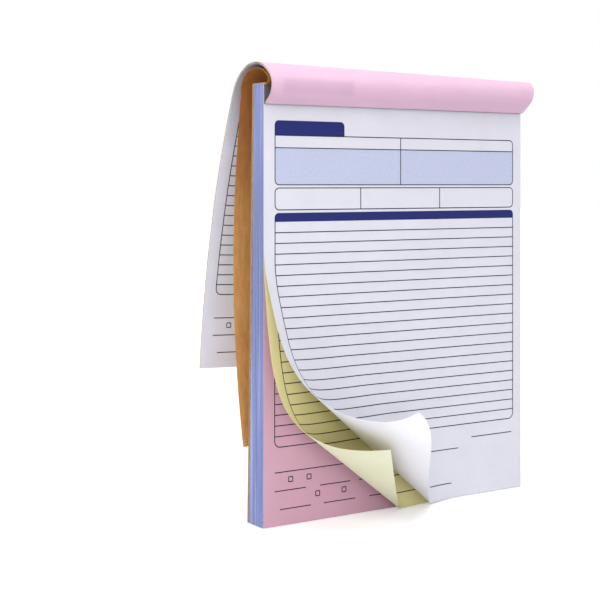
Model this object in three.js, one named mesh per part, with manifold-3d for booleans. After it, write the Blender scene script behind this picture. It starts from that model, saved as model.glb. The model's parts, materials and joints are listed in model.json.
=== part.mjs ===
// Three-part invoice book, standing on its bottom edge with its first set turned over the top.
// Millimetres. X runs to the right along the width, Y runs from the front sheet to the back board, Z is up.
// The origin is on the standing edge, half way along the width, in the foot of the middle block.
// The book is laid out from the plane of its front sheet, and the whole group is then moved back.
import * as THREE from 'three';
import * as BufferGeometryUtils from 'three/addons/utils/BufferGeometryUtils.js';
import Module from 'manifold-3d';

const wasm = await Module();
wasm.setup();

// Driving dimensions
const WIDTH = 216;
const HEIGHT = 280;
const STUB_HEIGHT = 13; // bound strip above the perforation
const PERFORATION_GAP = 0.3; // slot that stands for the row of cuts
const SHEET = 0.2;
const SHEET_PITCH = 0.25; // one loose sheet to the next in the pad
const FIRST_CLOSED_SET = 3; // set 1 is turned over and set 2 has lifted corners
const BLOCK_COUNT = 24; // each block is two sets, which is six sheets
const MIDDLE_BLOCK = BLOCK_COUNT / 2 - 1;
const BLOCK = 0.43;
const BLOCK_PITCH = 0.46;
const FAN = 1.57; // how much thicker the closed sets stand at the foot, where air lies between them
const BOARD = 1.15;
const KRAFT = 0.3;
const COVER_CORNER = 0.45; // outer radius of the wrapped cover's corners
const LIP_GAP = 0.2; // front stubs to the cover's front lip
const GLUE = 0.2;
const GLUE_INSET = 0.3;
const LAYER_GAP = 0.03; // air between pieces that only touch
const EDGE_INSET = 0.25; // how far sheets stay back from the kraft and the board

// Staples through the stub
const STAPLE_X = 58;
const STAPLE_CROWN = 13;
const WIRE = 0.5;
const WIRE_HOLE = 0.4; // radius of the hole round each leg
const CLINCH = 4.5; // bent-over end of each leg
const WIRE_BEND = 0.45;
const STAPLE_STEPS = 90;
const CLINCH_GROOVE = 0.6; // depth that the clinched ends press into the board

const LEAF_LENGTH = HEIGHT - STUB_HEIGHT;
const PAGE_HALF_WIDTH = WIDTH / 2 - EDGE_INSET;

// Depths of the layers, front to back
const FRONT_SETS = 3 * SHEET_PITCH;
const BOARD_FRONT = FRONT_SETS + BLOCK_COUNT * BLOCK_PITCH;
const FOOT_SPREAD = (FAN - 1) * BLOCK_COUNT * BLOCK_PITCH; // the board's foot, behind its top edge
const BOARD_BACK = BOARD_FRONT + BOARD;
const BACK = BOARD_BACK + LAYER_GAP + KRAFT;
const FRONT = -FRONT_SETS; // front face of the turned set's stubs
const STAPLE_Z = HEIGHT - STUB_HEIGHT / 2;
const STAPLE_BACK = BOARD_BACK + FOOT_SPREAD * (1 - STAPLE_Z / HEIGHT); // board's back, level with them

const PAPERS = [
  { name: 'white', color: 0xf2f1f6 },
  { name: 'yellow', color: 0xe9e7a8 },
  { name: 'pink', color: 0xf0c4da },
];

const COLORS = {
  kraft: 0xdcb683,
  board: 0xa79c8a,
  pageBlock: 0x9aa4d6,
  glue: 0xd9cfa8,
  wire: 0xb9bcc2,
};

function material(color, roughness, metalness = 0) {
  return new THREE.MeshStandardMaterial({ color, roughness, metalness });
}

// The turned-over set: its bends from the perforation line, over the top and down behind.
// length and radius hold the value along the left edge, then along the right edge.
const SET_ROOT = { y: -1.9, z: LEAF_LENGTH + 0.3, rise: 37.8 };
const SET_PATH = [
  { length: [4.5, 9.2] },
  { turn: 50, radius: [11.9, 11.8] },
  { turn: 45, radius: [8.8, 6.3] },
  { turn: 45, radius: [28.1, 7.4] },
  { turn: 10, radius: [33, 33] },
  { hinge: true },
  { length: [0, 1.5] },
  { turn: 64.3, radius: [28, 52.4] },
  { length: [12, 12] },
  { turn: 16.1, radius: [600, 600] },
];
const NEST_PITCH = 0.55; // one sheet of the turned set to the next round the roll

// The kraft flap, from its crease at the top front edge, inside the roll and down behind
const FLAP_ROOT = { y: FRONT - LIP_GAP - KRAFT / 2, z: HEIGHT - 0.5, rise: 8 };
const FLAP_PATH = [
  { length: [2, 5.5] },
  { turn: 82, radius: [2.4, 2.4] },
  { turn: 45, radius: [3.2, 2.4] },
  { turn: 45, radius: [21.1, 3.5] },
  { turn: 10, radius: [30, 30] },
  { hinge: true },
  { length: [1.3, 8.2] },
  { turn: 74.4, radius: [14.1, 32.7] },
  { length: [42.4, 48.9] },
  { turn: 20, radius: [572, 340] },
];

// The front sheets' lifted corners. Each bend line runs from the left edge to the bottom edge.
// edge is where the first one leaves the left edge; the rest follow at even steps down to the
// corner. feet is where they meet the bottom edge, and bends is degrees per step, both at even shares.
const CURLS = {
  white: { edge: 88, feet: [51, 21, 19, 17.5, -72.8, -108], bends: [6.6, 0.1, 4.4, 4.4, 6, 29] },
  yellow: { edge: 92.5, feet: [48, 5.2, -1.6, -6.5, -11.4, -108], bends: [2.8, 0, 2.5, 6.6, 4.8, 0.6] },
};
const CURL_STEPS = 40;
const DEGREES_PER_FACET = 6;

// One fold is a line across the flat sheet, and the angle by which all beyond it turns towards
// the sheet's front. Flat places are (u, v): u to the right, v down from the perforation line.
function makeFold(point, direction, bend) {
  return { point, direction: direction.clone().normalize(), bend };
}

function beyond(fold, place) {
  return fold.direction.cross(place.clone().sub(fold.point));
}

// Turns about the fold's line, in the sheet's own flat space (x = u, z = -v)
function foldMatrix(fold, share = 1) {
  const axis = new THREE.Vector3(fold.direction.x, 0, -fold.direction.y);
  const turn = new THREE.Matrix4().makeRotationAxis(axis, -fold.bend * share);
  const there = new THREE.Matrix4().makeTranslation(fold.point.x, 0, -fold.point.y);
  const back = new THREE.Matrix4().makeTranslation(-fold.point.x, 0, fold.point.y);
  return there.multiply(turn).multiply(back);
}

// Reads a path of lengths and turns into folds, and notes the hinge line
function rollFolds(path) {
  const folds = [];
  const reached = [0, 0];
  let hinge = null;
  const crossing = () => {
    const left = new THREE.Vector2(-WIDTH / 2, reached[0]);
    const right = new THREE.Vector2(WIDTH / 2, reached[1]);
    return { point: left, direction: right.clone().sub(left) };
  };
  for (const step of path) {
    if (step.hinge) {
      const line = crossing();
      hinge = makeFold(line.point, line.direction, 0);
      continue;
    }
    if (step.length) {
      reached[0] += step.length[0];
      reached[1] += step.length[1];
      continue;
    }
    const count = Math.max(2, Math.round(step.turn / DEGREES_PER_FACET));
    const bend = THREE.MathUtils.degToRad(step.turn) / count;
    for (let i = 0; i < count; i += 1) {
      for (const side of [0, 1]) reached[side] += 0.5 * bend * step.radius[side];
      const line = crossing();
      folds.push(makeFold(line.point, line.direction, bend));
      for (const side of [0, 1]) reached[side] += 0.5 * bend * step.radius[side];
    }
  }
  return { folds, hinge };
}

function valueAt(list, share) {
  const place = share * (list.length - 1);
  const low = Math.min(Math.floor(place), list.length - 2);
  return THREE.MathUtils.lerp(list[low], list[low + 1], place - low);
}

function curlFolds(curl) {
  const folds = [];
  const corner = new THREE.Vector2(-WIDTH / 2, LEAF_LENGTH);
  for (let i = 0; i < CURL_STEPS; i += 1) {
    const share = (i + 0.5) / CURL_STEPS;
    const onEdge = new THREE.Vector2(corner.x, THREE.MathUtils.lerp(curl.edge, corner.y, share));
    const foot = new THREE.Vector2(valueAt(curl.feet, share), corner.y);
    const bend = THREE.MathUtils.degToRad(valueAt(curl.bends, share));
    folds.push(makeFold(onEdge, foot.sub(onEdge), bend));
  }
  return folds;
}

// Splits a convex outline along a fold. Corners made on the fold are shared by both sides.
function splitOutline(outline, fold, matrix) {
  const near = [];
  const far = [];
  outline.forEach((corner, i) => {
    const next = outline[(i + 1) % outline.length];
    const side = beyond(fold, corner.place);
    const nextSide = beyond(fold, next.place);
    (side > 0 ? far : near).push(corner);
    if (side > 0 !== nextSide > 0) {
      const place = corner.place.clone().lerp(next.place, side / (side - nextSide));
      const shared = { place, matrix, id: corner.ids.next++, ids: corner.ids };
      near.push(shared);
      far.push(shared);
    }
  });
  return { near, far };
}

function outlineOf(places) {
  const ids = { next: places.length };
  return places.map((place, id) => ({ place, matrix: null, id, ids }));
}

// Bends a flat convex outline along the folds into a closed sheet between two depths.
// Depth is measured towards the sheet's back.
function foldedSheet(places, folds, placement, depth, thickness) {
  const positions = [];
  const index = [];
  const known = new Map();
  const vertex = (corner, matrix, layer) => {
    const key = `${corner.id}:${layer}`;
    if (!known.has(key)) {
      const flat = new THREE.Vector3(corner.place.x, depth + layer * thickness, -corner.place.y);
      flat.applyMatrix4(corner.matrix ?? matrix);
      known.set(key, positions.length / 3);
      positions.push(flat.x, flat.y, flat.z);
    }
    return known.get(key);
  };
  const strip = (outline, matrix) => {
    const front = outline.map((corner) => vertex(corner, matrix, 0));
    const back = outline.map((corner) => vertex(corner, matrix, 1));
    for (let i = 1; i < outline.length - 1; i += 1) {
      index.push(front[0], front[i], front[i + 1]);
      index.push(back[0], back[i + 1], back[i]);
    }
    outline.forEach((corner, i) => {
      const j = (i + 1) % outline.length;
      const sameFold = corner.matrix && corner.matrix === outline[j].matrix;
      if (sameFold) return;
      index.push(front[i], back[i], back[j], front[i], back[j], front[j]);
    });
  };
  let rest = outlineOf(places);
  let matrix = placement.clone();
  for (const fold of folds) {
    const mitre = matrix.clone().multiply(foldMatrix(fold, 0.5));
    const parts = splitOutline(rest, fold, mitre);
    if (parts.near.length > 2) strip(parts.near, matrix);
    matrix = matrix.clone().multiply(foldMatrix(fold));
    rest = parts.far;
    if (rest.length < 3) break;
  }
  if (rest.length > 2) strip(rest, matrix);
  const geometry = new THREE.BufferGeometry();
  geometry.setAttribute('position', new THREE.Float32BufferAttribute(positions, 3));
  geometry.setIndex(index);
  return geometry;
}

// A sheet's outline between two lines, each given by v at the left and at the right edge.
// Places run anticlockwise as seen from the front, with the inset taken off both side edges.
function band(top, bottom, inset = 0) {
  const half = WIDTH / 2 - inset;
  return [
    new THREE.Vector2(-half, top[0]),
    new THREE.Vector2(-half, bottom[0]),
    new THREE.Vector2(half, bottom[1]),
    new THREE.Vector2(half, top[1]),
  ];
}

function crossings(line) {
  const slope = line.direction.y / line.direction.x;
  const at = (u) => line.point.y + slope * (u - line.point.x);
  return [at(-WIDTH / 2), at(WIDTH / 2)];
}

// Places a sheet so that it hangs straight down from the perforation line
function hanging(depth) {
  return new THREE.Matrix4().makeTranslation(0, depth, LEAF_LENGTH);
}

// Places a sheet so that it leaves its root line forward, rising by an angle
function rising(root) {
  const turn = new THREE.Matrix4().makeRotationX(-THREE.MathUtils.degToRad(root.rise + 90));
  return new THREE.Matrix4().makeTranslation(0, root.y, root.z).multiply(turn);
}

function plate(halfWidth, low, high, front, back, holes = []) {
  const shape = new THREE.Shape();
  shape.moveTo(-halfWidth, low);
  shape.lineTo(halfWidth, low);
  shape.lineTo(halfWidth, high);
  shape.lineTo(-halfWidth, high);
  shape.closePath();
  for (const [x, z] of holes) {
    const hole = new THREE.Path();
    hole.absarc(x, z, WIRE_HOLE, 0, 2 * Math.PI, true);
    shape.holes.push(hole);
  }
  const depth = back - front;
  const geometry = new THREE.ExtrudeGeometry(shape, { depth, bevelEnabled: false, curveSegments: 6 });
  geometry.rotateX(Math.PI / 2);
  geometry.translate(0, back, 0);
  return geometry;
}

// Moves a plate's foot back by an amount that depends on depth; its top edge stays where it is
function fanned(geometry, spreadAt) {
  const place = geometry.attributes.position;
  for (let i = 0; i < place.count; i += 1) {
    const share = 1 - place.getZ(i) / HEIGHT;
    place.setY(i, place.getY(i) + share * spreadAt(place.getY(i)));
  }
  return geometry;
}

const LEG_HOLES = [-STAPLE_X, STAPLE_X].flatMap((x) => [
  [x - STAPLE_CROWN / 2, STAPLE_Z],
  [x + STAPLE_CROWN / 2, STAPLE_Z],
]);

function solidOf(geometry) {
  const bare = geometry.clone();
  bare.deleteAttribute('normal');
  bare.deleteAttribute('uv');
  const merged = BufferGeometryUtils.mergeVertices(bare, 1e-5);
  const mesh = new wasm.Mesh({
    numProp: 3,
    vertProperties: Float32Array.from(merged.attributes.position.array),
    triVerts: Uint32Array.from(merged.index.array),
  });
  return new wasm.Manifold(mesh);
}

function geometryOf(solid) {
  const mesh = solid.getMesh();
  const geometry = new THREE.BufferGeometry();
  geometry.setAttribute('position', new THREE.Float32BufferAttribute(mesh.vertProperties, 3));
  geometry.setIndex(Array.from(mesh.triVerts));
  return geometry;
}

const group = new THREE.Group();
group.name = 'invoice_book';
group.position.y = -(FRONT_SETS + FAN * (MIDDLE_BLOCK * BLOCK_PITCH + BLOCK / 2));

function add(name, geometry, surface) {
  const mesh = new THREE.Mesh(geometry, surface);
  mesh.name = name;
  group.add(mesh);
}

// Page blocks: the sets that are still closed
function addPageBlocks() {
  for (let i = 0; i < BLOCK_COUNT; i += 1) {
    const front = FRONT_SETS + i * BLOCK_PITCH;
    const first = String(2 * i + FIRST_CLOSED_SET).padStart(2, '0');
    const second = String(2 * i + FIRST_CLOSED_SET + 1).padStart(2, '0');
    const flat = plate(PAGE_HALF_WIDTH, 0, HEIGHT, front, front + BLOCK, LEG_HOLES);
    const geometry = fanned(flat, (y) => (FAN - 1) * (y - FRONT_SETS));
    add(`sets_${first}_${second}`, geometry, material(COLORS.pageBlock, 0.85));
  }
}

// Stubs of the two open sets: the strips above the perforation that stay bound
function addStubs() {
  for (const set of [1, 2]) {
    PAPERS.forEach((paper, layer) => {
      const front = (set === 1 ? FRONT : 0) + layer * SHEET_PITCH;
      const low = LEAF_LENGTH + PERFORATION_GAP / 2;
      const geometry = plate(PAGE_HALF_WIDTH, low, HEIGHT, front, front + SHEET, LEG_HOLES);
      add(`${paper.name}_stub_${set}`, geometry, material(paper.color, 0.8));
    });
  }
}

// The front set: white and yellow with lifted corners, pink flat behind them
function addFrontSet() {
  PAPERS.forEach((paper, layer) => {
    const folds = CURLS[paper.name] ? curlFolds(CURLS[paper.name]) : [];
    const outline = band(
      [PERFORATION_GAP / 2, PERFORATION_GAP / 2],
      [LEAF_LENGTH - EDGE_INSET, LEAF_LENGTH - EDGE_INSET],
      EDGE_INSET,
    );
    const geometry = foldedSheet(outline, folds, hanging(layer * SHEET_PITCH), 0, SHEET);
    add(`${paper.name}_sheet_2`, geometry, material(paper.color, 0.8));
  });
}

// The turned set: each sheet's roll stays with the book, and its leaf hangs behind
function addTurnedSet() {
  const { folds, hinge } = rollFolds(SET_PATH);
  const split = crossings(hinge);
  PAPERS.forEach((paper, layer) => {
    const depth = (layer - 2) * NEST_PITCH;
    const start = [0, 0];
    const rollEnd = split.map((v) => v - PERFORATION_GAP / 2);
    const leafStart = split.map((v) => v + PERFORATION_GAP / 2);
    const leafEnd = [LEAF_LENGTH, LEAF_LENGTH];
    const surface = material(paper.color, 0.8);
    const place = rising(SET_ROOT);
    const roll = foldedSheet(band(start, rollEnd, EDGE_INSET), folds, place, depth, SHEET);
    const leaf = foldedSheet(band(leafStart, leafEnd, EDGE_INSET), folds, place, depth, SHEET);
    add(`${paper.name}_roll_1`, roll, surface);
    add(`${paper.name}_sheet_1`, leaf, surface);
  });
}

// The wrapped cover: back panel, spine over the top edge, front lip and the flap's first bend
function coverProfile() {
  const shape = new THREE.Shape();
  const inner = BACK - KRAFT;
  const under = HEIGHT + GLUE + 2 * LAYER_GAP;
  const lip = FRONT - LIP_GAP;
  const corner = COVER_CORNER;
  shape.moveTo(inner + FOOT_SPREAD, 0);
  shape.lineTo(BACK + FOOT_SPREAD, 0);
  shape.lineTo(BACK, HEIGHT);
  shape.lineTo(BACK, under + KRAFT - corner);
  shape.absarc(BACK - corner, under + KRAFT - corner, corner, 0, Math.PI / 2, false);
  shape.lineTo(lip - KRAFT + corner, under + KRAFT);
  shape.absarc(lip - KRAFT + corner, under + KRAFT - corner, corner, Math.PI / 2, Math.PI, false);
  shape.lineTo(lip - KRAFT, FLAP_ROOT.z - KRAFT / 2);
  shape.lineTo(lip, FLAP_ROOT.z - KRAFT / 2);
  shape.lineTo(lip, under - corner + KRAFT);
  shape.absarc(lip + corner - KRAFT, under - corner + KRAFT, corner - KRAFT, Math.PI, Math.PI / 2, true);
  shape.lineTo(inner - corner + KRAFT, under);
  shape.absarc(inner - corner + KRAFT, under - corner + KRAFT, corner - KRAFT, Math.PI / 2, 0, true);
  shape.lineTo(inner, HEIGHT);
  shape.closePath();
  return shape;
}

function addCover() {
  const { folds, hinge } = rollFolds(FLAP_PATH);
  const split = crossings(hinge);
  const surface = material(COLORS.kraft, 0.85);
  const wrap = new THREE.ExtrudeGeometry(coverProfile(), {
    depth: WIDTH,
    bevelEnabled: false,
    curveSegments: 3,
  });
  wrap.applyMatrix4(
    new THREE.Matrix4().makeBasis(
      new THREE.Vector3(0, 1, 0),
      new THREE.Vector3(0, 0, 1),
      new THREE.Vector3(1, 0, 0),
    ),
  );
  wrap.translate(-WIDTH / 2, 0, 0);
  const place = rising(FLAP_ROOT);
  const rollEnd = split.map((v) => v - PERFORATION_GAP / 2);
  const leafStart = split.map((v) => v + PERFORATION_GAP / 2);
  const bend = foldedSheet(band([0, 0], rollEnd), folds, place, -KRAFT / 2, KRAFT);
  const flap = foldedSheet(band(leafStart, [HEIGHT, HEIGHT]), folds, place, -KRAFT / 2, KRAFT);
  add('cover_wrap', geometryOf(solidOf(wrap).add(solidOf(bend))), surface);
  add('cover_flap', flap, surface);
}

function addBoardAndGlue() {
  const flat = plate(PAGE_HALF_WIDTH, 0, HEIGHT, BOARD_FRONT, BOARD_BACK, LEG_HOLES);
  let board = solidOf(fanned(flat, () => FOOT_SPREAD));
  for (const x of [-STAPLE_X, STAPLE_X]) {
    const groove = new THREE.BoxGeometry(STAPLE_CROWN + 2 * WIRE, 2 * CLINCH_GROOVE, 2 * WIRE_HOLE);
    groove.translate(x, STAPLE_BACK, STAPLE_Z);
    board = board.subtract(solidOf(groove));
  }
  add('back_board', geometryOf(board), material(COLORS.board, 0.95));
  const depth = BOARD_BACK - FRONT - 2 * GLUE_INSET;
  const glue = new THREE.BoxGeometry(WIDTH - 2 * GLUE_INSET, depth, GLUE);
  glue.translate(0, (BOARD_BACK + FRONT) / 2, HEIGHT + LAYER_GAP + GLUE / 2);
  add('binding_glue', glue, material(COLORS.glue, 0.6));
}

// A wire staple's line: crown across the front stubs, legs through the pad, ends turned in
function staplePath(x) {
  const half = STAPLE_CROWN / 2;
  const front = FRONT - WIRE / 2 - LAYER_GAP;
  const back = STAPLE_BACK - WIRE / 2 - LAYER_GAP;
  const path = new THREE.CurvePath();
  const at = (dx, y) => new THREE.Vector3(x + dx, y, STAPLE_Z);
  const corners = [
    at(-half + CLINCH, back),
    at(-half, back),
    at(-half, front),
    at(half, front),
    at(half, back),
    at(half - CLINCH, back),
  ];
  let from = corners[0];
  for (let i = 1; i < corners.length - 1; i += 1) {
    const corner = corners[i];
    const before = corner.clone().add(from.clone().sub(corner).setLength(WIRE_BEND));
    const after = corner.clone().add(corners[i + 1].clone().sub(corner).setLength(WIRE_BEND));
    path.add(new THREE.LineCurve3(from, before));
    path.add(new THREE.QuadraticBezierCurve3(before, corner, after));
    from = after;
  }
  path.add(new THREE.LineCurve3(from, corners[corners.length - 1]));
  return path;
}

function addStaples() {
  const section = new THREE.Shape();
  section.absarc(0, 0, WIRE / 2, 0, 2 * Math.PI, false);
  for (const [name, x] of [['staple_left', -STAPLE_X], ['staple_right', STAPLE_X]]) {
    const geometry = new THREE.ExtrudeGeometry(section, {
      extrudePath: staplePath(x),
      steps: STAPLE_STEPS,
      curveSegments: 4,
      bevelEnabled: false,
    });
    add(name, geometry, material(COLORS.wire, 0.35, 0.9));
  }
}

addPageBlocks();
addStubs();
addFrontSet();
addTurnedSet();
addCover();
addBoardAndGlue();
addStaples();

export default group;
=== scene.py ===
"""Three-part invoice book, standing on its bottom edge with its first set turned over the top.

Sheets are flat outlines, bent along straight fold lines, so paper keeps its length and width.
The form's lines, boxes and bars are thin films of ink that bend with the sheet they lie on.
Sizes are in millimetres and turn into metres when a mesh is made or a shader compares a place.
A place on a flat sheet is (u, v): u to the right of the middle, v along it from where it starts.
The form's sheets start at the perforation.
"""

import json
import math

import bmesh
import bpy
from mathutils import Matrix, Vector


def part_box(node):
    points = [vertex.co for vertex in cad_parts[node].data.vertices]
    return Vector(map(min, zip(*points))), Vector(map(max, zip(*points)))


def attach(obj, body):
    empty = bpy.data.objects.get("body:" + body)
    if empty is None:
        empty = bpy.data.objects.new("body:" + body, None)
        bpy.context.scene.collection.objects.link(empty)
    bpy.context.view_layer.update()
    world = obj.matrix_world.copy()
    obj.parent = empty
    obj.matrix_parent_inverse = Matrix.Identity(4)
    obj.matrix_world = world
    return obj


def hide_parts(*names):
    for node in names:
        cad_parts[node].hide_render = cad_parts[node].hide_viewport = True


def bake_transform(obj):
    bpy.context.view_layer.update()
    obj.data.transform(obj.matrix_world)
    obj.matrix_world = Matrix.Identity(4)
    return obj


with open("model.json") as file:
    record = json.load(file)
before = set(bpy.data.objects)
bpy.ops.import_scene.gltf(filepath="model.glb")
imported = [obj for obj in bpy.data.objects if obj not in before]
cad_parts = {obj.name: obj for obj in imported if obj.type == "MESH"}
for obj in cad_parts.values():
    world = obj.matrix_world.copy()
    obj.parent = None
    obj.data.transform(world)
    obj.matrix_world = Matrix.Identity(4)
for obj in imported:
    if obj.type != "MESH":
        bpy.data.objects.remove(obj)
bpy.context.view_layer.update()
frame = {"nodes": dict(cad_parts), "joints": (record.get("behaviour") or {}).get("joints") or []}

MM = 0.001

# Paper and card
WIDTH = 216.0
HALF = WIDTH / 2
LEAF = 267.0
SHEET = 0.2
SHEET_PITCH = 0.25
SET_DEPTH = 3 * SHEET_PITCH
NEST_PITCH = 0.55
EDGE_INSET = 0.25
PERFORATION_GAP = 0.3
KRAFT = 0.3

# Where the closed pad stands: its height, and the plane of its front sheet
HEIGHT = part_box("sets_03_04")[1].z / MM
PAGE_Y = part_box("white_sheet_2")[1].y / MM - SHEET

# The cover's back, top and lip. The lip lies over the turned set's stubs
COVER_TOP = HEIGHT + 0.26
COVER_CORNER = 0.3
BACK_PANEL_Y = PAGE_Y + 13.27
FOOT_SPREAD = 6.293
LIP_GAP = 0.2
LIP_Y = PAGE_Y - SET_DEPTH - LIP_GAP

# The rolls of the turned set and of the cover's flap. A root is where the sheet starts, with the
# degrees by which it rises as it leaves to the front. A path's steps are a length, at the left and
# the right edge, a turn, in degrees and with its radius at either edge, and the joints' hinge line
SET_ROOT = {"y": PAGE_Y - 1.9, "z": LEAF + 0.3, "rise": 37.8}
SET_PATH = [
    ("length", 4.5, 9.2),
    ("turn", 50, 11.9, 11.8),
    ("turn", 45, 8.8, 6.3),
    ("turn", 45, 28.1, 7.4),
    ("turn", 10, 33, 33),
    ("hinge",),
    ("length", 0, 1.5),
    ("turn", 64.3, 28, 52.4),
    ("length", 12, 12),
    ("turn", 16.1, 600, 600),
]
FLAP_ROOT = {"y": LIP_Y - KRAFT / 2, "z": HEIGHT - 0.5, "rise": 8}
FLAP_PATH = [
    ("length", 2, 5.5),
    ("turn", 82, 2.4, 2.4),
    ("turn", 45, 3.2, 2.4),
    ("turn", 45, 21.1, 3.5),
    ("turn", 10, 30, 30),
    ("hinge",),
    ("length", 1.3, 8.2),
    ("turn", 74.4, 14.1, 32.7),
    ("length", 42.4, 48.9),
    ("turn", 20, 572, 340),
]
FINE_DEGREES = 1.5
SHARP_DEGREES = 40

# The bodies that turn about the hinge line, each carried by the one before it. A sheet is fixed
# as far as ROOT_END from that line, and has rows of vertices cut between two of BEND_ENDS.
# HINGE_RUN is roughly the way that the leaves run across the line
ROOT_END = -6.0
BEND_ENDS = [-0.6, 0.6, 2.0, 4.5, 9.0]
BEND_ROWS = 8
HINGE_RUN = Vector((0, 1, -0.1))

# Lifted corners: v of the first fold at the left edge, and, from that fold to the last, where
# folds reach the bottom edge and by how many degrees they would bend if there were CURL_STEPS.
# FINE_STEPS folds share that bend
CURLS = {
    "white": {
        "edge": 88,
        "feet": [51, 21, 19, 17.5, -72.8, -108],
        "bends": [6.6, 0.1, 4.4, 4.4, 6, 29],
    },
    "yellow": {
        "edge": 92.5,
        "feet": [48, 5.2, -1.6, -6.5, -11.4, -108],
        "bends": [2.8, 0, 2.5, 6.6, 4.8, 0.6],
    },
}
CURL_STEPS = 40
FINE_STEPS = 120

# The form's print
INK = 0.04
INK_DEPTH = 0.02
LINE = 0.64
FORM_LEFT = -99.5
FORM_RIGHT = 100.2
TAB_TOP, TAB_BOTTOM, TAB_RIGHT = 9.9, 19.4, -46.0
TINT_TOP, TINT_BOTTOM = 27.3, 50.8
FIELDS_TOP, FIELDS_BOTTOM = 52.8, 66.7
BAR_TOP, BAR_BOTTOM = 68.6, 74.3
BODY_BOTTOM = 217.0
RULES = 20
RULE_PITCH = (BODY_BOTTOM - BAR_BOTTOM) / (RULES + 1)
CORNER = 3.0
BODY_CORNER = 4.0
CORNER_STEPS = 6
STEP_DEGREES = 90 / CORNER_STEPS
CHECK_SIZE = 3.1
FOOT_RULES = [
    (226.6, [(62, 99)]),
    (233.0, [(FORM_LEFT, 50)]),
    (244.8, [(FORM_LEFT, -76), (-65, -41), (-34, 14)]),
    (256.6, [(-95.5, -72), (-62, -37), (-25.5, 15), (22, 44)]),
]
FOOT_CHECKS = [(236.6, (-89, -75)), (248.2, (-68.3, -47.6))]

# Tones. Between two heights, and fading beyond them, the pad's side is darkened by painted shade
WHITE = (1, 1, 1, 1)
NOISE_LOW, NOISE_HIGH = 0.3, 0.7
SHOW_THROUGH = (0.72, 0.72, 0.80, 1)
TINT_GHOST = 0.18
SIDE_SHADE_LOW, SIDE_SHADE_HIGH, SIDE_SHADE_FADE = 110, 225, 30
SIDE_SHADE_TONE = (0.75, 0.78, 0.8, 1)

# Painted shade along the turned white sheet, the turned pink sheet and the flap, darkest in the
# roll's hollow and near the roots. The white sheet's last stop, a little above one, is painted light
ROLL_SHADE = [
    (0, (0.2, 0.18, 0.19, 1)),
    (12, (0.25, 0.23, 0.24, 1)),
    (26, (0.54, 0.53, 0.54, 1)),
    (76, (0.62, 0.62, 0.63, 1)),
    (116, (0.98, 1.03, 1.08, 1)),
]
# Painted shade on the pink roll's outside, darkest near its root
PINK_SHADE = [(0, (0.83, 0.81, 0.82, 1)), (14, (0.85, 0.82, 0.83, 1)), (32, WHITE)]
# Painted shade on the kraft flap, darkest inside and below the roll
FLAP_SHADE = [(0, (0.62, 0.46, 0.3, 1)), (70, (0.58, 0.44, 0.38, 1)), (130, WHITE)]

# The setting. To the camera the floor glows by FLOOR_GLOW near the book and fully far from it
FLOOR_HALF = 8000
FLOOR_DROP = 0.2
GLOW_NEAR, GLOW_FAR = 350, 1600
FLOOR_GLOW = 0.36
WORLD_LIGHT = 0.34
CENTRE = (0, 0, 150)
LAMPS = [
    {"name": "key", "at": (700, -2800, 1100), "aim": CENTRE, "size": (1800, 1800), "watts": 6},
    {"name": "low_fill", "at": (-700, -1500, 120), "aim": (0, 0, 100), "size": (1600, 200), "watts": 4.5},
    {"name": "top", "at": (100, -300, 1900), "aim": CENTRE, "size": (1800, 1800), "watts": 19},
    {"name": "left_fill", "at": (-1500, -1100, 1400), "aim": CENTRE, "size": (1200, 1000), "watts": 22},
    {"name": "rear_fill", "at": (200, 1800, 1000), "aim": CENTRE, "size": (1600, 1200), "watts": 9},
]
CAMERA_PLACE = (-546.7, PAGE_Y - 715.4, 216.6)
CAMERA_AZIMUTH = 33.08
CAMERA_SENSOR = 36
CAMERA_LENS = 80.14
CAMERA_SHIFT = -0.193
CAMERA_REACH = 50000


# Folding


class Fold:
    """A line across the flat sheet; all beyond it turns towards the sheet's front by bend."""

    def __init__(self, point, direction, bend):
        self.point = Vector(point)
        self.direction = Vector(direction).normalized()
        self.bend = bend

    def beyond(self, place):
        """How far a flat place lies beyond the line, below zero before it."""
        away = place - self.point
        return self.direction.x * away.y - self.direction.y * away.x

    def matrix(self, share=1.0):
        """The turn about the line, or a share of it."""
        axis = Vector((self.direction.x, 0, -self.direction.y))
        there = Matrix.Translation((self.point.x, 0, -self.point.y))
        turn = Matrix.Rotation(-self.bend * share, 4, axis)
        return there @ turn @ there.inverted()


def fold_across(reached, bend):
    """A fold from edge to edge, at the v that reached gives for the left and the right edge."""
    return Fold((-HALF, reached[0]), (WIDTH, reached[1] - reached[0]), bend)


def roll_folds(path):
    """Folds of a path of lengths and turns, and its hinge line's v at the left and right edge.

    A fold without a bend marks each end of a turn, so that flat and round paper meet there.
    """
    folds = []
    reached = [0.0, 0.0]
    hinge = None
    for kind, *values in path:
        if kind == "hinge":
            hinge = list(reached)
        elif kind == "length":
            reached = [reached[0] + values[0], reached[1] + values[1]]
        else:
            degrees, *radii = values
            count = max(2, round(degrees / FINE_DEGREES))
            bend = math.radians(degrees) / count
            folds.append(fold_across(reached, 0.0))
            for _ in range(count):
                reached = [reached[side] + bend * radii[side] / 2 for side in (0, 1)]
                folds.append(fold_across(reached, bend))
                reached = [reached[side] + bend * radii[side] / 2 for side in (0, 1)]
            folds.append(fold_across(reached, 0.0))
    return folds, hinge


def value_at(values, share):
    """The value at a share of the way along evenly spaced ones."""
    place = share * (len(values) - 1)
    low = min(int(place), len(values) - 2)
    return values[low] + (values[low + 1] - values[low]) * (place - low)


def curl_folds(curl):
    """Folds of a lifted corner, from the left edge to the bottom edge. The first doesn't bend."""
    folds = []
    for share in (0.0, *((i + 0.5) / FINE_STEPS for i in range(FINE_STEPS))):
        v = curl["edge"] + (LEAF - curl["edge"]) * share
        foot = value_at(curl["feet"], share)
        degrees = value_at(curl["bends"], share) * CURL_STEPS / FINE_STEPS if share else 0.0
        folds.append(Fold((-HALF, v), (foot + HALF, LEAF - v), math.radians(degrees)))
    return folds


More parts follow.
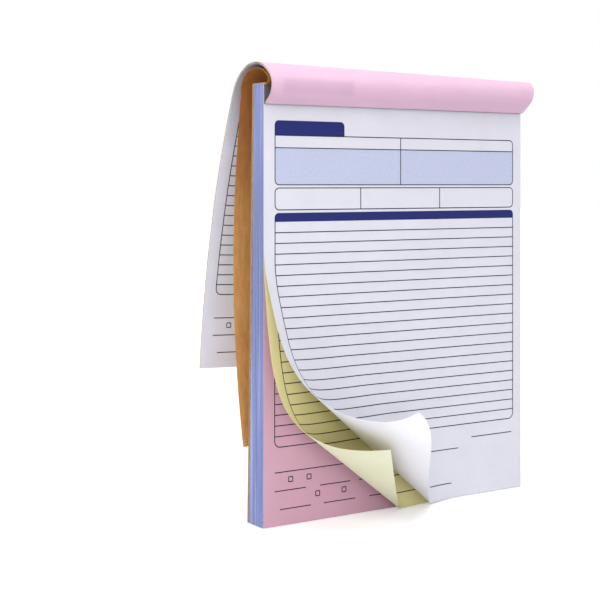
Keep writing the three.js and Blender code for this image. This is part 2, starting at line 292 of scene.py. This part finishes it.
def hanging(depth):
    """Where a sheet hangs from the perforation, at a depth behind the pad's front."""
    return Matrix.Translation((0, PAGE_Y + depth, LEAF))


def rising(root):
    """Where a rolled sheet starts: upwards and to the front from its root."""
    turn = Matrix.Rotation(-math.radians(root["rise"] + 90), 4, "X")
    return Matrix.Translation((0, root["y"], root["z"])) @ turn


class Corner:
    """A corner of an outline. On a fold it is placed by the mitre, which is half turned."""

    def __init__(self, place, mitre=None):
        self.place = place
        self.mitre = mitre


def split(outline, fold, mitre):
    """Cuts an outline at a fold, into the parts before and beyond it."""
    near, far = [], []
    for i, corner in enumerate(outline):
        following = outline[(i + 1) % len(outline)]
        side, next_side = fold.beyond(corner.place), fold.beyond(following.place)
        (far if side > 0 else near).append(corner)
        if (side > 0) != (next_side > 0):
            place = corner.place.lerp(following.place, side / (side - next_side))
            shared = Corner(place, mitre)
            near.append(shared)
            far.append(shared)
    return near, far


class Skin:
    """Gathers bent outlines into one mesh. Each face has a material number and flat places."""

    def __init__(self, folds, placement):
        self.folds = folds
        self.before = [placement.copy()]
        self.mitres = []
        for fold in folds:
            self.mitres.append(self.before[-1] @ fold.matrix(0.5))
            self.before.append(self.before[-1] @ fold.matrix())
        self.points, self.faces, self.numbers, self.smooth, self.uvs = [], [], [], [], []
        self.known = {}

    def vertex(self, corner, matrix, depth):
        """The number of a corner's vertex. The corner is kept too, so that its id stays its own."""
        key = (id(corner), round(depth, 4))
        if key not in self.known:
            flat = Vector((corner.place.x, depth, -corner.place.y))
            self.known[key] = (len(self.points), corner)
            self.points.append((corner.mitre or matrix) @ flat * MM)
        return self.known[key][0]

    def face(self, vertices, corners, number, smooth):
        self.faces.append(vertices)
        self.numbers.append(number)
        self.smooth.append(smooth)
        self.uvs.extend((corner.place.x * MM, corner.place.y * MM) for corner in corners)

    def strip(self, outline, matrix, depth, thickness, numbers):
        """The part between two folds: its front, its back, and a rim where it isn't cut."""
        if len(outline) < 3:
            return
        front = [self.vertex(corner, matrix, depth) for corner in outline]
        back = [self.vertex(corner, matrix, depth + thickness) for corner in outline]
        self.face(front, outline, numbers[0], True)
        self.face(back[::-1], outline[::-1], numbers[1], True)
        for i, corner in enumerate(outline):
            j = (i + 1) % len(outline)
            following = outline[j]
            if corner.mitre is not None and corner.mitre is following.mitre:
                continue
            rim = [front[i], back[i], back[j], front[j]]
            self.face(rim, [corner, corner, following, following], numbers[2], False)

    def add(self, places, depth, thickness, numbers=(0, 0, 0)):
        """Bends one convex outline, given anticlockwise from the front, into a closed sheet.

        The material numbers are those of the front, the back and the rim.
        """
        rest = [Corner(Vector(place)) for place in places]
        for fold, matrix, mitre in zip(self.folds, self.before, self.mitres):
            if all(fold.beyond(corner.place) > 0 for corner in rest):
                continue
            near, far = split(rest, fold, mitre)
            self.strip(near, matrix, depth, thickness, numbers)
            rest = far
            if len(rest) < 3:
                return
        self.strip(rest, self.before[-1], depth, thickness, numbers)

    def build(self, name, materials):
        """Makes the object. Its map, named flat, holds every face's flat places in metres."""
        mesh = bpy.data.meshes.new(name)
        mesh.from_pydata(self.points, [], self.faces)
        layer = mesh.uv_layers.new(name="flat")
        for loop, place in zip(layer.data, self.uvs):
            loop.uv = place
        mesh.polygons.foreach_set("material_index", self.numbers)
        mesh.polygons.foreach_set("use_smooth", self.smooth)
        for surface in materials:
            mesh.materials.append(surface)
        mesh.update()
        mesh.set_sharp_from_angle(angle=math.radians(SHARP_DEGREES))
        piece = bpy.data.objects.new(name, mesh)
        bpy.context.scene.collection.objects.link(piece)
        return piece


def band(top, bottom, inset=EDGE_INSET):
    """A sheet's outline between two lines, each given by v at the left and the right edge."""
    half = HALF - inset
    return [(-half, top[0]), (-half, bottom[0]), (half, bottom[1]), (half, top[1])]


# Colours and shader nodes. A noise's scale counts its waves in a metre


def linear(red, green, blue):
    """A colour given in display values from 0 to 255, as the shader wants it."""
    values = []
    for value in (red, green, blue):
        share = value / 255
        values.append(share / 12.92 if share <= 0.04045 else ((share + 0.055) / 1.055) ** 2.4)
    return (*values, 1.0)


def shade(color, factor):
    return (*(min(1.0, value * factor) for value in color[:3]), 1.0)


def nodes_of(name):
    surface = bpy.data.materials.new(name)
    surface.use_nodes = True
    tree = surface.node_tree
    return surface, tree, tree.nodes["Principled BSDF"]


def connect(tree, value, socket):
    """Gives a socket what comes from another one, or a plain value."""
    if isinstance(value, bpy.types.NodeSocket):
        tree.links.new(value, socket)
    else:
        socket.default_value = value


def math_node(tree, operation, *values):
    node = tree.nodes.new("ShaderNodeMath")
    node.operation = operation
    for value, socket in zip(values, node.inputs):
        connect(tree, value, socket)
    return node.outputs[0]


def product(tree, *values):
    total = values[0]
    for value in values[1:]:
        total = math_node(tree, "MULTIPLY", total, value)
    return total


def mix(tree, share, first, second, blend_type="MIX"):
    node = tree.nodes.new("ShaderNodeMix")
    node.data_type = "RGBA"
    node.blend_type = blend_type
    for value, number in ((share, 0), (first, 6), (second, 7)):
        connect(tree, value, node.inputs[number])
    return node.outputs[2]


def tinted(tree, first, second):
    """One colour multiplied by another."""
    return mix(tree, 1.0, first, second, "MULTIPLY")


def ramp(tree, value, stops):
    node = tree.nodes.new("ShaderNodeValToRGB")
    elements = node.color_ramp.elements
    while len(elements) < len(stops):
        elements.new(0.5)
    for element, (place, color) in zip(elements, stops):
        element.position = place
        element.color = color
    tree.links.new(value, node.inputs["Fac"])
    return node.outputs["Color"]


def mottle(tree, texture, first, second):
    """Two colours, mixed as a noise goes from low to high."""
    return ramp(tree, texture, [(NOISE_LOW, first), (NOISE_HIGH, second)])


def noise(tree, vector, scale, detail=3, stretch=None):
    texture = tree.nodes.new("ShaderNodeTexNoise")
    texture.inputs["Scale"].default_value = scale
    texture.inputs["Detail"].default_value = detail
    if stretch:
        mapping = tree.nodes.new("ShaderNodeMapping")
        mapping.inputs["Scale"].default_value = stretch
        tree.links.new(vector, mapping.inputs["Vector"])
        vector = mapping.outputs["Vector"]
    tree.links.new(vector, texture.inputs["Vector"])
    return texture.outputs["Fac"]


def fade(tree, value, start, end, first, last):
    """Goes smoothly from first to last while a value goes from start to end."""
    node = tree.nodes.new("ShaderNodeMapRange")
    node.interpolation_type = "SMOOTHSTEP"
    for name, limit in (("From Min", start), ("From Max", end), ("To Min", first), ("To Max", last)):
        node.inputs[name].default_value = limit
    tree.links.new(value, node.inputs["Value"])
    return node.outputs[0]


def window(tree, value, low, high, soft):
    """1 between low and high, fading to 0 from soft within each to soft outside it."""
    rise = fade(tree, value, low - soft, low + soft, 0.0, 1.0)
    fall = fade(tree, value, high - soft, high + soft, 1.0, 0.0)
    return product(tree, rise, fall)


def object_place(tree):
    return tree.nodes.new("ShaderNodeTexCoord").outputs["Object"]


def geometry(tree, name):
    return tree.nodes.new("ShaderNodeNewGeometry").outputs[name]


def parts_of(tree, vector):
    """A vector's x, y and z."""
    node = tree.nodes.new("ShaderNodeSeparateXYZ")
    tree.links.new(vector, node.inputs[0])
    return list(node.outputs)


def flat_place(tree):
    """u and v in metres on a sheet that a Skin has made."""
    node = tree.nodes.new("ShaderNodeUVMap")
    node.uv_map = "flat"
    return parts_of(tree, node.outputs["UV"])[:2]


def along_sheet(tree, stops):
    """A painted shade that changes along the sheet. Stops are (v, colour)."""
    length = stops[-1][0]
    share = math_node(tree, "DIVIDE", flat_place(tree)[1], length * MM)
    return ramp(tree, share, [(v / length, color) for v, color in stops])


def paint(tree, shader, base, roughness, specular=0.5):
    """Gives the shader its colour and how it shines."""
    tree.links.new(base, shader.inputs["Base Color"])
    shader.inputs["Roughness"].default_value = roughness
    shader.inputs["Specular IOR Level"].default_value = specular


def bump(tree, shader, height, strength, distance):
    node = tree.nodes.new("ShaderNodeBump")
    node.inputs["Strength"].default_value = strength
    node.inputs["Distance"].default_value = distance
    tree.links.new(height, node.inputs["Height"])
    tree.links.new(node.outputs["Normal"], shader.inputs["Normal"])


def seen_directly(tree):
    """1 for the rays that show a thing to the camera, 0 for those that carry light."""
    path = tree.nodes.new("ShaderNodeLightPath").outputs
    seen = math_node(tree, "MAXIMUM", path["Is Camera Ray"], path["Is Glossy Ray"])
    return math_node(tree, "MAXIMUM", seen, path["Is Transmission Ray"])


# Materials


def paper(name, color, ghost=None, shade_stops=None):
    """Uncoated paper: cloudy formation, fine fibres, print that ghosts through if asked, and painted shade
    along it if given.
    """
    surface, tree, shader = nodes_of(name)
    place = object_place(tree)
    clouds = mottle(tree, noise(tree, place, scale=45), shade(color, 0.975), shade(color, 1.02))
    fibres = noise(tree, place, scale=1400, detail=5)
    base = tinted(tree, clouds, ramp(tree, fibres, [(0.35, shade(WHITE, 0.965)), (0.6, WHITE)]))
    if ghost:
        base = mix(tree, ghost(tree), base, tinted(tree, base, SHOW_THROUGH))
    if shade_stops:
        base = tinted(tree, base, along_sheet(tree, shade_stops))
    paint(tree, shader, base, roughness=0.78, specular=0.25)
    bump(tree, shader, fibres, strength=0.25, distance=0.04 * MM)
    return surface


def rules_ghost(strength):
    """The ruled lines, faint and soft, as they show through from the other side."""

    def build(tree):
        u, v = flat_place(tree)
        from_bar = math_node(tree, "SUBTRACT", v, BAR_BOTTOM * MM)
        phase = math_node(tree, "FRACT", math_node(tree, "DIVIDE", from_bar, RULE_PITCH * MM))
        # Midway between two lines this is 0, and on a line 0.5
        from_middle = math_node(tree, "ABSOLUTE", math_node(tree, "SUBTRACT", phase, 0.5))
        line = window(tree, from_middle, low=0.44, high=0.6, soft=0.05)
        across = window(tree, u, FORM_LEFT * MM, FORM_RIGHT * MM, soft=MM)
        inside = window(tree, v, BAR_BOTTOM * MM, BODY_BOTTOM * MM, soft=MM)
        return product(tree, line, inside, across, strength)

    return build


def header_ghost(strength):
    """The dark tab and the tinted box, as soft patches seen through the sheet."""

    def build(tree):
        u, v = flat_place(tree)
        tab_across = window(tree, u, FORM_LEFT * MM, TAB_RIGHT * MM, soft=2.5 * MM)
        tab_down = window(tree, v, TAB_TOP * MM, TAB_BOTTOM * MM, soft=2 * MM)
        tint_across = window(tree, u, FORM_LEFT * MM, FORM_RIGHT * MM, soft=2 * MM)
        tint_down = window(tree, v, TINT_TOP * MM, TINT_BOTTOM * MM, soft=2 * MM)
        tab = product(tree, tab_across, tab_down)
        tint = product(tree, tint_across, tint_down, TINT_GHOST)
        return product(tree, math_node(tree, "ADD", tab, tint), strength)

    return build


def kraft_card(name, shade_stops=None):
    """Brown kraft card: warm clouds, long pale and dark fibres and fine specks, and painted shade along it if
    given.
    """
    surface, tree, shader = nodes_of(name)
    place = object_place(tree)
    texture = noise(tree, place, scale=28, detail=4)
    clouds = mottle(tree, texture, linear(202, 148, 86), linear(216, 166, 104))
    fibres = noise(tree, place, scale=420, detail=6, stretch=(1, 1, 0.25))
    streaks = ramp(tree, fibres, [(0.38, (0.90, 0.88, 0.84, 1)), (0.62, (1.04, 1.03, 1.02, 1))])
    texture = noise(tree, place, scale=900, detail=2)
    specks = ramp(tree, texture, [(0.70, WHITE), (0.76, (0.70, 0.60, 0.50, 1))])
    base = tinted(tree, tinted(tree, clouds, streaks), specks)
    if shade_stops:
        base = tinted(tree, base, along_sheet(tree, shade_stops))
    paint(tree, shader, base, roughness=0.72, specular=0.3)
    bump(tree, shader, fibres, strength=0.3, distance=0.06 * MM)
    return surface


def page_edges():
    """The closed sets: plain faces, and edges streaked sheet by sheet, with painted shade in their darker
    blue and in a band up the side.
    """
    surface, tree, shader = nodes_of("page_edges")
    place = object_place(tree)
    sheets = noise(tree, place, scale=1, detail=2, stretch=(5, 5200, 5))
    waves = noise(tree, place, scale=1, detail=3, stretch=(9, 420, 9))
    streaks = math_node(tree, "MULTIPLY_ADD", sheets, 0.55, product(tree, waves, 0.45))
    # The streaks are the sheets' own; these tones, darker and bluer than the faces, are painted shade on the
    # edges
    tones = [(0.34, linear(88, 110, 182)), (0.5, linear(140, 152, 208)), (0.66, linear(186, 192, 232))]
    edge = ramp(tree, streaks, tones)
    height = parts_of(tree, place)[2]
    # A darker band up the pad's side, painted shade
    side_shade = window(tree, height, SIDE_SHADE_LOW * MM, SIDE_SHADE_HIGH * MM, SIDE_SHADE_FADE * MM)
    edge = mix(tree, side_shade, edge, tinted(tree, edge, SIDE_SHADE_TONE))
    depthwise = math_node(tree, "ABSOLUTE", parts_of(tree, geometry(tree, "Normal"))[1])
    is_face = math_node(tree, "GREATER_THAN", depthwise, 0.5)
    paint(tree, shader, mix(tree, is_face, edge, linear(234, 234, 243)), roughness=0.85, specular=0.2)
    bump(tree, shader, sheets, strength=0.5, distance=0.08 * MM)
    return surface


def grey_board():
    surface, tree, shader = nodes_of("grey_board")
    pulp = noise(tree, object_place(tree), scale=320, detail=6)
    paint(tree, shader, mottle(tree, pulp, linear(132, 124, 112), linear(172, 164, 150)), roughness=0.9)
    bump(tree, shader, pulp, strength=0.5, distance=0.1 * MM)
    return surface


def binding_glue():
    surface, tree, shader = nodes_of("binding_glue")
    brushed = noise(tree, object_place(tree), scale=160, detail=4, stretch=(0.2, 1, 1))
    paint(tree, shader, mottle(tree, brushed, linear(206, 194, 156), linear(226, 218, 188)), roughness=0.4)
    return surface


def staple_wire():
    surface, tree, shader = nodes_of("staple_wire")
    drawn = noise(tree, object_place(tree), scale=700, detail=3, stretch=(0.1, 1, 1))
    paint(tree, shader, mottle(tree, drawn, linear(168, 170, 176), linear(206, 208, 212)), roughness=0.35)
    shader.inputs["Metallic"].default_value = 1.0
    return surface


def ink(name, color):
    """Printed ink, with the slight unevenness of a litho solid."""
    surface, tree, shader = nodes_of(name)
    uneven = noise(tree, object_place(tree), scale=1100, detail=4)
    base = mottle(tree, uneven, shade(color, 0.9), shade(color, 1.12))
    paint(tree, shader, base, roughness=0.7, specular=0.2)
    return surface


def plain_floor():
    """White floor that keeps the book's shadow and shows plain white to the camera elsewhere."""
    surface, tree, shader = nodes_of("plain_floor")
    shader.inputs["Base Color"].default_value = linear(240, 240, 241)
    shader.inputs["Roughness"].default_value = 0.9
    shader.inputs["Specular IOR Level"].default_value = 0.1
    shader.inputs["Emission Color"].default_value = WHITE
    away = tree.nodes.new("ShaderNodeVectorMath")
    away.operation = "LENGTH"
    tree.links.new(geometry(tree, "Position"), away.inputs[0])
    spread = fade(tree, away.outputs["Value"], GLOW_NEAR * MM, GLOW_FAR * MM, FLOOR_GLOW, 1.0)
    tree.links.new(product(tree, seen_directly(tree), spread), shader.inputs["Emission Strength"])
    return surface


# Each paper's front and back, in the order of the sheets. The two sides of one paper differ in
# tone as painted light and shade, the front darker and the back paler
FACES = {
    "white": (
        paper("white_front", linear(219, 219, 229)),
        paper("white_back", linear(246, 246, 253), rules_ghost(0.3)),
    ),
    "yellow": (
        paper("yellow_front", linear(230, 221, 162)),
        paper("yellow_back", linear(242, 243, 212), rules_ghost(0.12)),
    ),
    "pink": (
        paper("pink_front", linear(210, 166, 186)),
        # The pink back also carries PINK_SHADE's painted shade near the roll's root
        paper("pink_back", linear(240, 202, 226), header_ghost(0.4), shade_stops=PINK_SHADE),
    ),
}
# The turned white sheet's inside: white paper with ROLL_SHADE's painted shade along it
ROLL_INSIDE = paper("roll_inside", linear(236, 236, 247), shade_stops=ROLL_SHADE)
KRAFT_CARD = kraft_card("kraft_card")
# The flap's kraft, with FLAP_SHADE's painted shade along it
KRAFT_FLAP = kraft_card("kraft_flap", FLAP_SHADE)
INKS = [
    ink("ink_line", linear(38, 38, 60)),
    ink("ink_navy", linear(34, 40, 104)),
    ink("ink_tint", linear(188, 194, 219)),
]
LINE_INK, NAVY_INK, TINT_INK = range(3)
INK_LIFTS = {LINE_INK: INK, NAVY_INK: INK * 0.8, TINT_INK: INK * 0.5}


# The form's print


def bar(u_low, u_high, v_low, v_high, radii=(0, 0, 0, 0)):
    """A filled bar with corner radii at the top left, bottom left, bottom right and top right."""
    corners = [(u_low, v_low, 1, 1), (u_low, v_high, 1, -1), (u_high, v_high, -1, -1), (u_high, v_low, -1, 1)]
    starts = [-90, 180, 90, 0]
    places = []
    for (u, v, to_u, to_v), radius, start in zip(corners, radii, starts):
        if radius == 0:
            places.append((u, v))
            continue
        centre_u, centre_v = u + to_u * radius, v + to_v * radius
        for i in range(CORNER_STEPS + 1):
            angle = math.radians(start - STEP_DEGREES * i)
            places.append((centre_u + radius * math.cos(angle), centre_v + radius * math.sin(angle)))
    return places


def rule(u_low, u_high, v):
    return bar(u_low, u_high, v - LINE / 2, v + LINE / 2)


def upright(u, v_low, v_high):
    return bar(u - LINE / 2, u + LINE / 2, v_low, v_high)


def arc(u, v, radius, start):
    """A quarter of a circle as short strokes, from start degrees on."""
    strokes = []
    inner, outer = radius - LINE / 2, radius + LINE / 2
    for i in range(CORNER_STEPS):
        near, far = math.radians(start + STEP_DEGREES * i), math.radians(start + STEP_DEGREES * (i + 1))
        places = [(inner, far), (outer, far), (outer, near), (inner, near)]
        strokes.append([(u + r * math.cos(a), v + r * math.sin(a)) for r, a in places])
    return strokes


def box(u_low, u_high, v_low, v_high, radius, top_left=True):
    """A drawn box with round corners. Its top left one can be left square and open."""
    strokes = [
        rule(u_low + (radius if top_left else 0), u_high - radius, v_low),
        rule(u_low + radius, u_high - radius, v_high),
        upright(u_low, v_low + (radius if top_left else 0), v_high - radius),
        upright(u_high, v_low + radius, v_high - radius),
    ]
    if top_left:
        strokes += arc(u_low + radius, v_low + radius, radius, 180)
    strokes += arc(u_high - radius, v_low + radius, radius, 270)
    strokes += arc(u_high - radius, v_high - radius, radius, 0)
    strokes += arc(u_low + radius, v_high - radius, radius, 90)
    return strokes


def header_strokes():
    """The box under the tab, halved, and the row of three fields below it."""
    third = (FORM_RIGHT - FORM_LEFT) / 3
    strokes = box(FORM_LEFT, FORM_RIGHT, TAB_BOTTOM, TINT_BOTTOM, CORNER, top_left=False)
    strokes += [rule(FORM_LEFT, FORM_RIGHT, TINT_TOP), upright(0, TAB_BOTTOM, TINT_BOTTOM)]
    strokes += box(FORM_LEFT, FORM_RIGHT, FIELDS_TOP, FIELDS_BOTTOM, CORNER)
    strokes += [upright(FORM_LEFT + third * i, FIELDS_TOP, FIELDS_BOTTOM) for i in (1, 2)]
    return strokes


def body_strokes():
    """The ruled body: two sides, a round bottom and the writing lines."""
    left, right, radius = FORM_LEFT, FORM_RIGHT, BODY_CORNER
    strokes = [
        upright(left, BAR_BOTTOM, BODY_BOTTOM - radius),
        upright(right, BAR_BOTTOM, BODY_BOTTOM - radius),
        rule(left + radius, right - radius, BODY_BOTTOM),
    ]
    strokes += arc(left + radius, BODY_BOTTOM - radius, radius, 90)
    strokes += arc(right - radius, BODY_BOTTOM - radius, radius, 0)
    strokes += [rule(left, right, BAR_BOTTOM + RULE_PITCH * (i + 1)) for i in range(RULES)]
    return strokes


def foot_strokes():
    """Blank rules and tick boxes below the body."""
    strokes = [rule(low, high, v) for v, spans in FOOT_RULES for low, high in spans]
    for v, lefts in FOOT_CHECKS:
        for left in lefts:
            strokes += [
                rule(left, left + CHECK_SIZE, v),
                rule(left, left + CHECK_SIZE, v + CHECK_SIZE),
                upright(left, v, v + CHECK_SIZE),
                upright(left + CHECK_SIZE, v, v + CHECK_SIZE),
            ]
    return strokes


def form():
    """Every stroke of the form, as (outline, ink number)."""
    tint = bar(FORM_LEFT, FORM_RIGHT, TINT_TOP, TINT_BOTTOM, (0, CORNER, CORNER, 0))
    tab = bar(FORM_LEFT - LINE / 2, TAB_RIGHT, TAB_TOP, TAB_BOTTOM, (CORNER, 0, 0, CORNER))
    head = bar(FORM_LEFT - LINE / 2, FORM_RIGHT + LINE / 2, BAR_TOP, BAR_BOTTOM, (CORNER, 0, 0, CORNER))
    lines = header_strokes() + body_strokes() + foot_strokes()
    return [(tint, TINT_INK), (tab, NAVY_INK), (head, NAVY_INK), *((outline, LINE_INK) for outline in lines)]


def clip(places, keep):
    """Keeps the part of a convex outline where keep(place) isn't below zero."""
    kept = []
    for i, place in enumerate(places):
        following = places[(i + 1) % len(places)]
        here, there = keep(place), keep(following)
        if here >= 0:
            kept.append(place)
        if (here >= 0) != (there >= 0):
            share = here / (here - there)
            kept.append(tuple(a + (b - a) * share for a, b in zip(place, following)))
    return kept


def between(places, top, bottom):
    """Cuts an outline to the band between two lines, given by v at the left and right edge."""

    def line_v(ends, u):
        return ends[0] + (ends[1] - ends[0]) * (u + HALF) / WIDTH

    places = clip(places, lambda place: place[1] - line_v(top, place[0]))
    return clip(places, lambda place: line_v(bottom, place[0]) - place[1]) if len(places) > 2 else []


def print_form(name, folds, placement, depth, top=None, bottom=None):
    """The form's ink on the front face of a sheet, whole or between two lines."""
    skin = Skin(folds, placement)
    for outline, number in form():
        lift = INK_LIFTS[number]
        if top:
            outline = between(outline, top, bottom)
        if len(outline) > 2:
            skin.add(outline, depth - lift, lift + INK_DEPTH, (number,) * 3)
    return skin.build(name, INKS) if skin.faces else None


# The pieces


def add_front_set():
    """White and yellow with lifted corners, each with its form, and the form on the flat pink.

    The pink sheet is the CAD's own, and so is the next set, whose first sheet has its form too.
    """
    gap, foot = PERFORATION_GAP / 2, LEAF - EDGE_INSET
    for layer, name in enumerate(FACES):
        body = f"{name}_sheet_2"
        folds = curl_folds(CURLS[name]) if name in CURLS else []
        placement = hanging(layer * SHEET_PITCH)
        if folds:
            skin = Skin(folds, placement)
            skin.add(band((gap, gap), (foot, foot)), 0, SHEET, (0, 1, 0))
            sheet = skin.build(f"{name}_front_sheet", FACES[name])
            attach(sheet, body)
            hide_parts(body)
        printed = print_form(f"{name}_front_print", folds, placement, 0)
        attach(printed, body)
    printed = print_form("next_set_print", [], hanging(SET_DEPTH), 0)
    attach(printed, "book")


def hinge_frame():
    """A point on the hinge line, and the way the leaves run there, square to the line."""
    joint = next(j for j in frame["joints"] if j["name"] == "cover_flap_turn")
    axis = Vector(joint["axis"]).normalized()
    return Vector(joint["pos_m"]), (HINGE_RUN - axis * HINGE_RUN.dot(axis)).normalized()


def blended(piece, link):
    """Cuts rows of vertices across a piece beside the hinge line, between two of BEND_ENDS.

    The faces there are wide and few. Then the piece's place is baked into its mesh.
    """
    point, along = hinge_frame()
    start = point + along * BEND_ENDS[link] * MM
    end = point + along * BEND_ENDS[link + 1] * MM
    shape = bmesh.new()
    shape.from_mesh(piece.data)
    for row in range(BEND_ROWS + 1):
        parts = [*shape.verts, *shape.edges, *shape.faces]
        place = start.lerp(end, row / BEND_ROWS)
        bmesh.ops.bisect_plane(shape, geom=parts, dist=1e-6, plane_co=place, plane_no=along)
    shape.to_mesh(piece.data)
    shape.free()
    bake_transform(piece)


def add_turned_set():
    """Each turned sheet and its form, cut across beside the hinge line.

    Number 0 is fixed to the book, and each later number has rows of vertices cut between the next two of
    BEND_ENDS.
    """
    folds, hinge = roll_folds(SET_PATH)
    placement = rising(SET_ROOT)
    for layer, name in enumerate(FACES):
        depth = (layer - 2) * NEST_PITCH
        links = layer + 2
        ends = [ROOT_END, *BEND_ENDS[1:links]]
        lines = [[0.0, 0.0], *([v + end for v in hinge] for end in ends), [LEAF, LEAF]]
        for number, (top, bottom) in enumerate(zip(lines, lines[1:])):
            skin = Skin(folds, placement)
            skin.add(band(top, bottom), depth, SHEET, (0, 1, 0))
            # The turned white sheet's front carries the roll's painted shade
            front = ROLL_INSIDE if name == "white" else FACES[name][0]
            sheet = skin.build(f"{name}_turned_sheet_{number}", (front, FACES[name][1]))
            printed = print_form(f"{name}_turned_print_{number}", folds, placement, depth, top, bottom)
            for piece in [sheet, printed] if printed else [sheet]:
                if number == 0:
                    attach(piece, "book")
                else:
                    blended(piece, number - 1)
            if number == 0:
                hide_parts(f"{name}_roll_1")
            if number == links:
                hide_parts(f"{name}_sheet_1")


def add_cover_back():
    """The cover's leaning back panel, wrapped over the top and down to the flap's root."""
    lean = math.atan2(FOOT_SPREAD, HEIGHT)
    panel = (COVER_TOP - COVER_CORNER) / math.cos(lean)
    top_run = BACK_PANEL_Y - LIP_Y - 2 * COVER_CORNER
    corner_run = COVER_CORNER * math.pi / 2
    lip_run = COVER_TOP - FLAP_ROOT["z"]
    path = [
        ("length", panel, panel),
        ("turn", 90 - math.degrees(lean), COVER_CORNER, COVER_CORNER),
        ("length", top_run, top_run),
        ("turn", 90, COVER_CORNER, COVER_CORNER),
    ]
    folds, _ = roll_folds(path)
    foot = Matrix.Translation((0, BACK_PANEL_Y + FOOT_SPREAD, 0))
    skin = Skin(folds, foot @ Matrix.Rotation(lean, 4, "X") @ Matrix.Rotation(math.pi, 4, "Y"))
    reach = panel + top_run + 2 * corner_run + lip_run
    skin.add(band((0, 0), (reach, reach), 0), 0, KRAFT)
    wrap = skin.build("cover_back", [KRAFT_CARD])
    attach(wrap, "book")
    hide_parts("cover_wrap")


def add_cover_flap():
    """The cover's flap: a root that is fixed to the book, and the part that turns."""
    folds, hinge = roll_folds(FLAP_PATH)
    root_line = [v + ROOT_END for v in hinge]
    parts = (("cover_flap_root", (0, 0), root_line), ("cover_front_flap", root_line, (HEIGHT, HEIGHT)))
    for name, top, bottom in parts:
        skin = Skin(folds, rising(FLAP_ROOT))
        skin.add(band(top, bottom, 0), -KRAFT / 2, KRAFT)
        flap = skin.build(name, [KRAFT_FLAP])
        if name == "cover_flap_root":
            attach(flap, "book")
        else:
            blended(flap, 0)
            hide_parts("cover_flap")


def dress_cad_nodes():
    """Gives each of the CAD's solids its material, by the first word of its name."""
    surfaces = {name: front for name, (front, _) in FACES.items()}
    surfaces["sets"] = page_edges()
    surfaces["staple"] = staple_wire()
    surfaces["back"] = grey_board()
    surfaces["binding"] = binding_glue()
    for name, node in frame["nodes"].items():
        surface = surfaces.get(name.split("_")[0], KRAFT_CARD)
        for place in node.material_slots:
            # The turned set's stubs take the roll's inside at its darkest, a painted shade in the hollow
            place.material = ROLL_INSIDE if name.endswith("_stub_1") else surface


# The setting


def add_floor():
    far = FLOOR_HALF
    corners = [(-far, -far), (far, -far), (far, far), (-far, far)]
    mesh = bpy.data.meshes.new("floor")
    mesh.from_pydata([Vector((x, y, -FLOOR_DROP)) * MM for x, y in corners], [], [(0, 1, 2, 3)])
    mesh.materials.append(plain_floor())
    floor = bpy.data.objects.new("floor", mesh)
    bpy.context.scene.collection.objects.link(floor)


def add_lamps():
    for lamp in LAMPS:
        light = bpy.data.lights.new(lamp["name"], "AREA")
        light.shape = "RECTANGLE"
        light.size, light.size_y = (side * MM for side in lamp["size"])
        light.energy = lamp["watts"]
        holder = bpy.data.objects.new(lamp["name"], light)
        holder.location = Vector(lamp["at"]) * MM
        ray = Vector(lamp["aim"]) - Vector(lamp["at"])
        holder.rotation_euler = ray.to_track_quat("-Z", "Y").to_euler()
        bpy.context.scene.collection.objects.link(holder)


def add_world():
    """White all round for the camera, and dimmer as a light."""
    world = bpy.data.worlds.new("soft_white")
    world.use_nodes = True
    tree = world.node_tree
    strength = math_node(tree, "MULTIPLY_ADD", seen_directly(tree), 1 - WORLD_LIGHT, WORLD_LIGHT)
    tree.links.new(strength, tree.nodes["Background"].inputs["Strength"])
    tree.nodes["Background"].inputs["Color"].default_value = WHITE
    bpy.context.scene.world = world


def add_camera():
    """Level camera, placed so that the pad's edges fall where the photograph has them."""
    camera = bpy.data.cameras.new("camera")
    camera.sensor_width = CAMERA_SENSOR
    camera.lens = CAMERA_LENS
    camera.shift_y = CAMERA_SHIFT
    camera.clip_end = CAMERA_REACH * MM
    holder = bpy.data.objects.new("camera", camera)
    holder.location = Vector(CAMERA_PLACE) * MM
    holder.rotation_euler = (math.pi / 2, 0, -math.radians(CAMERA_AZIMUTH))
    bpy.context.scene.collection.objects.link(holder)
    bpy.context.scene.camera = holder


add_camera()
dress_cad_nodes()
add_front_set()
add_turned_set()
add_cover_back()
add_cover_flap()
add_floor()
add_lamps()
add_world()
bpy.context.scene.view_settings.view_transform = "Standard"
